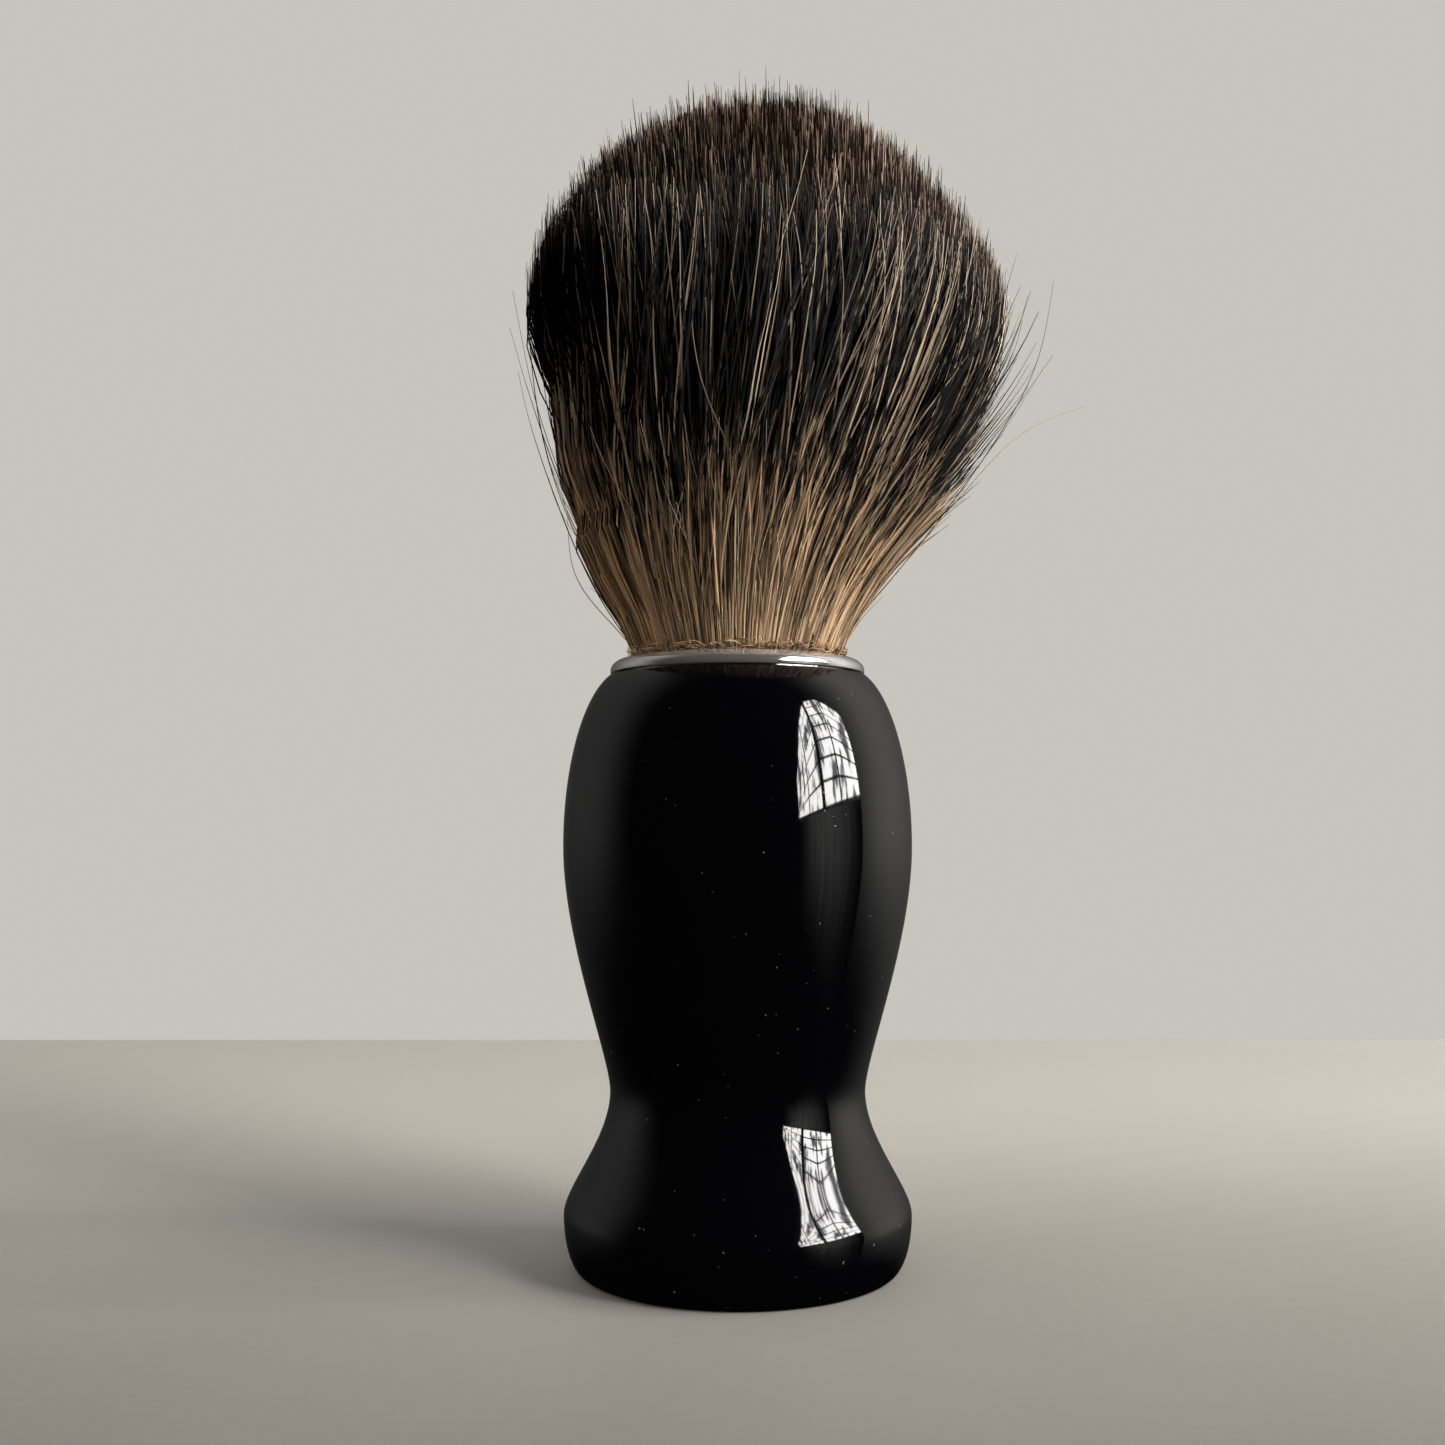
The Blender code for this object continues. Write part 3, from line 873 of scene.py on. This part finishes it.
def hair_core():
    """The bound roots and the dark inside of the knot, one closed turned body."""
    outline = [
        (0.0, ROOT_FOOT),
        (BOUND_R, ROOT_FOOT),
        (BOUND_R, BOUND_TOP),
        (BUNDLE_R * 0.97, BUNDLE_FOOT),
        (BUNDLE_R * 0.97, COLLAR_TOP),
    ]
    for radius, height in flare_outline(16)[1:]:
        share = 1.0 + (CORE_SHARE - 1.0) * float(ease((height - COLLAR_TOP) / (6 * MM)))
        outline.append((radius * share, height))
    top_r = outline[-1][0]
    outline += arc((0.0, BLOOM_Z), (top_r, CORE_TOP - BLOOM_Z), 0, 90, 12)[1:-1]
    outline.append((0.0, CORE_TOP))
    solid = turned(outline)
    for vert in solid.verts:
        vert.co.x += float(lean(vert.co.z))
    piece = finished("hair_core", solid, under_hair())
    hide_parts("hair_knot")
    return piece


# ---------------------------------------------------------------- studio


def plane(name, corners, finish):
    """A flat stage piece at the floor's level, between two (x, y) corners."""
    (x0, y0), (x1, y1) = corners
    solid = bmesh.new()
    bmesh.ops.create_grid(solid, x_segments=1, y_segments=1, size=0.5)
    bmesh.ops.scale(solid, vec=(x1 - x0, y1 - y0, 1.0), verts=solid.verts)
    bmesh.ops.translate(solid, vec=((x0 + x1) / 2, (y0 + y1) / 2, 0.0), verts=solid.verts)
    return staged(name, solid, finish)


def staged(name, solid, finish):
    """Turn a bmesh into a piece of the studio."""
    mesh = bpy.data.meshes.new(name)
    solid.to_mesh(mesh)
    solid.free()
    mesh.materials.append(finish)
    made = bpy.data.objects.new(name, mesh)
    bpy.context.scene.collection.objects.link(made)
    return made


def floor():
    """A plain pale table top, a little darker towards the camera through painted shade. The gloss doesn't
    mirror it.
    """
    finish = new_finish("table_paint_and_painted_shade", (0.62, 0.60, 0.56), 0.5)
    mottle = finish.noise(9.0, 5.0)
    grain = finish.noise(700.0, 3.0)
    parts = finish.node("SeparateXYZ", inputs={0: finish.place()})
    depth = Value(finish, parts.socket.node.outputs["Y"])
    # Painted shade: the dark colour towards the camera stands in for the shade that falls on the front of
    # the table.
    far = finish.step(depth + mottle * 0.04, -0.09, 0.12)
    near_painted_shade = finish.blend(mottle, (0.165, 0.16, 0.147, 1.0), (0.21, 0.204, 0.188, 1.0))
    far_paint = finish.blend(mottle, (0.62, 0.60, 0.55, 1.0), (0.70, 0.68, 0.63, 1.0))
    finish.shade(
        Base_Color=finish.blend(far, near_painted_shade, far_paint),
        Roughness=grain * 0.15 + 0.42,
        Normal=finish.bump(grain, 0.25, 0.08 * MM),
    )
    table = plane("table", ((-600 * MM, -600 * MM), (600 * MM, 162 * MM)), finish.owner)
    table.visible_glossy = False


def world_light():
    """Pale behind the brush and dark behind the camera; the camera sees a plain backdrop."""
    world = bpy.data.worlds.new("studio")
    bpy.context.scene.world = world
    finish = Finish(world)
    direction = finish.node("TexCoord", output="Generated")
    parts = finish.node("SeparateXYZ", inputs={0: direction})
    side = Value(finish, parts.socket)
    depth = Value(finish, parts.socket.node.outputs["Y"])
    height = Value(finish, parts.socket.node.outputs["Z"])
    upright = finish.step(height, 0.95, 0.4)
    overhead = finish.step(height, 0.97, 0.75)
    level = finish.blend(finish.step(side, -0.8, 0.8), (0.25, 0.247, 0.24, 1.0), (0.85, 0.83, 0.79, 1.0))
    sides = finish.step(depth, -0.35, 0.25) * (1.0 - finish.step(depth, 0.25, 1.0) * 0.85)
    mirrored = finish.blend(sides * overhead * finish.step(height, -0.45, 0.1), grey(0.002), level)
    behind = finish.step(depth, -0.10, 0.08) * upright
    front = finish.blend(finish.step(side, 0.3, -0.9), grey(0.12), (0.80, 0.785, 0.755, 1.0))
    fill = finish.blend(behind, front, (0.80, 0.775, 0.725, 1.0))
    glow = finish.blend(finish.node("LightPath", output="Is Glossy Ray"), fill, mirrored)
    shown = finish.blend(finish.node("LightPath", output="Is Camera Ray"), glow, (0.57, 0.555, 0.515, 1.0))
    background = world.node_tree.nodes["Background"]
    finish.feed(background.inputs["Color"], shown)


def window_pane_grid():
    """A tall arched window of small panes, one bar thicker than the rest, in the plane of x = 0."""
    solid = bmesh.new()
    bmesh.ops.create_grid(solid, x_segments=4, y_segments=7, size=0.5)
    panes = bmesh.ops.inset_individual(solid, faces=solid.faces[:], thickness=0.009, use_even_offset=True)
    bmesh.ops.delete(solid, geom=panes["faces"], context="FACES_ONLY")
    for vert in solid.verts:
        across, up = vert.co.x, vert.co.y + 0.5
        if abs(across) < 0.03:
            across += math.copysign(0.016, across)
        arch = 1.0 - 1.3 * (across - 0.04) ** 2 - 0.9 * abs(across - 0.04) ** 1.5
        vert.co = (0.0, across * WINDOW_W, up * arch * WINDOW_H)
    return solid


def window_light():
    """The window that the gloss mirrors, on the right, with the dim wall below it, and the key light."""
    finish = new_finish("window_glow", (0.0, 0.0, 0.0), 1.0)
    boughs = finish.noise(1.0, 4.0, finish.stretched((1.0, 22.0, 9.0)))
    finish.shade(
        Emission_Color=finish.blend(
            finish.step(boughs, 0.40, 0.52), (0.10, 0.10, 0.11, 1.0), (1.0, 0.99, 0.97, 1.0)
        ),
        Emission_Strength=22.0,
    )
    window = staged("window_light", window_pane_grid(), finish.owner)
    window.location = (WINDOW_X, WINDOW_Y, WINDOW_FOOT)

    below = new_finish("sill_glow", (0.0, 0.0, 0.0), 1.0)
    streaks = below.noise(1.0, 3.0, below.stretched((1.0, 26.0, 1.5)))
    parts = below.node("SeparateXYZ", inputs={0: below.place()})
    across = Value(below, parts.socket.node.outputs["Y"])
    fade = below.step(Value(below, parts.socket.node.outputs["Z"]), -0.5 * SILL_H, 0.5 * SILL_H)
    fade = fade * below.step(across, -0.5 * WINDOW_W, 0.0)
    fade = fade * below.step(across, 0.5 * WINDOW_W, 0.1 * WINDOW_W)
    below.shade(
        Emission_Color=below.blend(streaks * fade, grey(0.0), (1.0, 0.98, 0.94, 1.0)),
        Emission_Strength=1.3,
    )
    solid = bmesh.new()
    bmesh.ops.create_grid(solid, x_segments=1, y_segments=1, size=0.5)
    for vert in solid.verts:
        vert.co = (0.0, vert.co.x * WINDOW_W, vert.co.y * SILL_H)
    sill = staged("sill_light", solid, below.owner)
    sill.location = (WINDOW_X, WINDOW_Y, WINDOW_FOOT - SILL_H / 2 - 5 * MM)
    for light in (window, sill):
        light.visible_camera = False
        light.visible_diffuse = False

    key = bpy.data.lights.new("key", "AREA")
    key.shape = "RECTANGLE"
    key.size = 460 * MM
    key.size_y = 470 * MM
    key.energy = 11.4
    key.color = (1.0, 0.955, 0.89)
    lamp = bpy.data.objects.new("key", key)
    bpy.context.scene.collection.objects.link(lamp)
    lamp.location = (550 * MM, -235 * MM, 320 * MM)
    lamp.rotation_euler = (Vector((0, 0, 70 * MM)) - lamp.location).to_track_quat("-Z", "Y").to_euler()
    lamp.visible_camera = False
    lamp.visible_glossy = False


def camera():
    """The photograph's viewing angle."""
    lens = bpy.data.cameras.new("camera")
    lens.lens = LENS_MM
    lens.sensor_width = SENSOR_MM
    lens.clip_start = 0.01
    made = bpy.data.objects.new("camera", lens)
    bpy.context.scene.collection.objects.link(made)
    made.location = CAMERA_PLACE
    made.rotation_euler = (math.radians(90 + CAMERA_TILT), 0.0, 0.0)
    bpy.context.scene.camera = made


def refinish(node, finish):
    """Give a CAD node that stays its own finish."""
    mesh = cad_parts[node].data
    mesh.materials.clear()
    mesh.materials.append(finish)


bpy.context.scene.view_settings.view_transform = "Standard"
camera()
floor()
world_light()
window_light()
polished_handle()
polished_collar()
hair_core()
soft_finish = badger_hair("soft_badger_hair", 0.06)
bright_finish = badger_hair("bright_badger_hair", 0.28)
for index, side in enumerate(SECTORS):
    sector_hair(index, side, soft_finish, bright_finish)
down_hair(bright_finish)
stray_hair(bright_finish)
refinish("base_plug", plug_plastic())
refinish("ballast_weight", ballast_iron())
refinish("adhesive_bed", cured_adhesive())
refinish("knot_cup", cup_plastic())
refinish("epoxy_plug", cast_epoxy())
refinish("hair_binding", waxed_thread())
